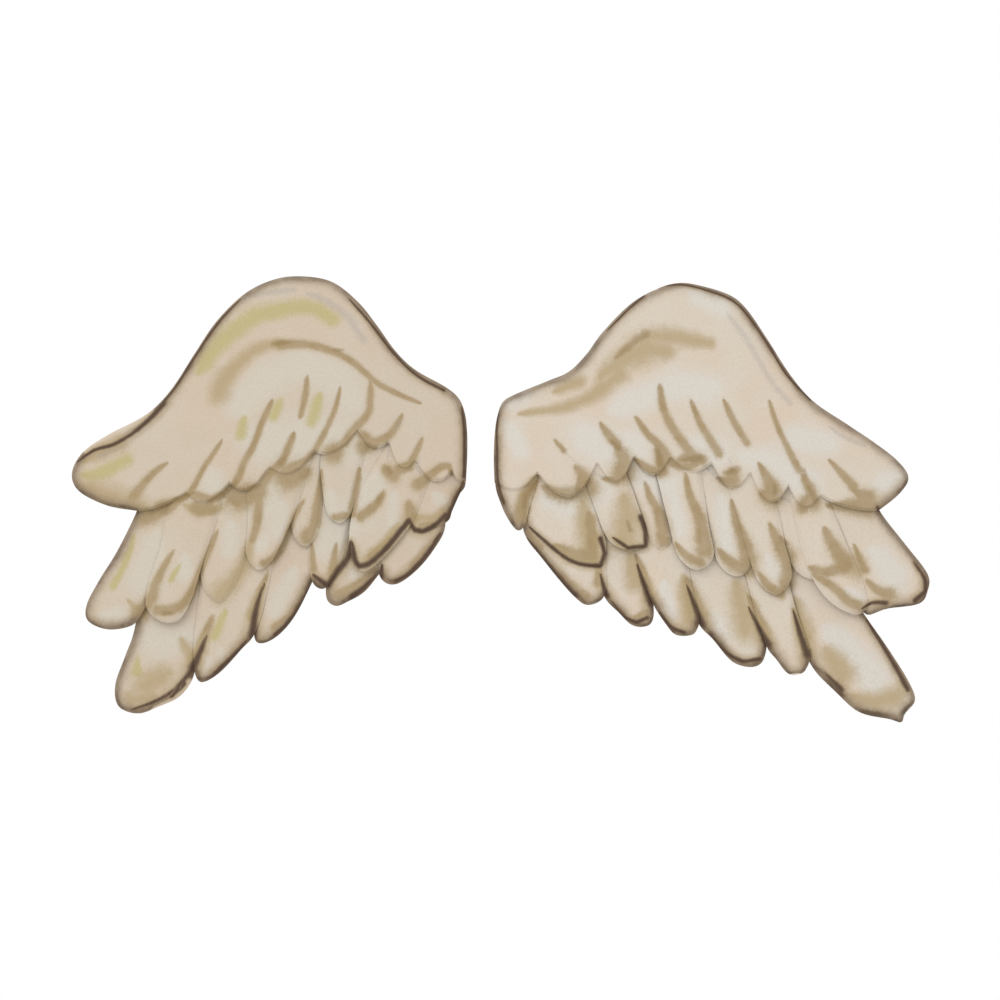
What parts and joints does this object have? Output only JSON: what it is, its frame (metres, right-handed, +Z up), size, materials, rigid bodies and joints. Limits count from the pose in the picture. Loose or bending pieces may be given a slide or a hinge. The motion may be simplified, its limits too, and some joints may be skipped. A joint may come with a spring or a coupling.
{
  "type": "pair of costume fairy wings",
  "caption": "Pair of small feathered costume wings in layered painted card, each with a brooch pin and a turning safety catch on its back",
  "frame": {"origin": "midway between the two wings' root edges, on the back faces of the two back panels, at the height of the bar pins", "axes": "+X from the left wing to the right wing as seen from the front, +Y from the painted front towards the wearer, +Z up"},
  "size_m": [0.2577, 0.0135, 0.1341],
  "materials": {
    "painted_card": "matt, hand painted in cream, tan and brown ink",
    "plain_card": "matt, unpainted",
    "steel": "nickel plated, satin"
  },
  "bodies": {
    "root": {"left_back_panel": "plain_card", "left_primary_1": "painted_card", "left_primary_2": "painted_card", "left_primary_3": "painted_card", "left_primary_4": "painted_card", "left_primary_5": "painted_card", "left_primary_6": "painted_card", "left_secondary_1": "painted_card", "left_secondary_2": "painted_card", "left_secondary_3": "painted_card", "left_secondary_4": "painted_card", "left_secondary_5": "painted_card", "left_secondary_6": "painted_card", "left_secondary_7": "painted_card", "left_secondary_8": "painted_card", "left_secondary_9": "painted_card", "left_arm_panel": "painted_card", "left_pin_bar": "steel", "left_hinge_rivet": "steel", "right_back_panel": "plain_card", "right_primary_1": "painted_card", "right_primary_2": "painted_card", "right_primary_3": "painted_card", "right_primary_4": "painted_card", "right_primary_5": "painted_card", "right_primary_6": "painted_card", "right_secondary_1": "painted_card", "right_secondary_2": "painted_card", "right_secondary_3": "painted_card", "right_secondary_4": "painted_card", "right_secondary_5": "painted_card", "right_secondary_6": "painted_card", "right_secondary_7": "painted_card", "right_secondary_8": "painted_card", "right_secondary_9": "painted_card", "right_secondary_10": "painted_card", "right_arm_panel": "painted_card", "right_pin_bar": "steel", "right_hinge_rivet": "steel"},
    "left_needle": {"left_needle": "steel"},
    "left_catch": {"left_catch": "steel"},
    "right_needle": {"right_needle": "steel"},
    "right_catch": {"right_catch": "steel"}
  },
  "joints": [
    {"name": "left_needle_hinge", "type": "hinge", "parent": "root", "child": "left_needle", "pos_m": [-0.0465, 0.00425, 0], "axis": [0, 0, 1], "range_deg": [0, 90]},
    {"name": "left_catch_turn", "type": "hinge", "parent": "root", "child": "left_catch", "pos_m": [-0.014, 0.00425, 0], "axis": [1, 0, 0], "range_deg": [0, 100]},
    {"name": "right_needle_hinge", "type": "hinge", "parent": "root", "child": "right_needle", "pos_m": [0.0465, 0.00425, 0], "axis": [0, 0, -1], "range_deg": [0, 90]},
    {"name": "right_catch_turn", "type": "hinge", "parent": "root", "child": "right_catch", "pos_m": [0.014, 0.00425, 0], "axis": [1, 0, 0], "range_deg": [0, 100]}
  ]
}
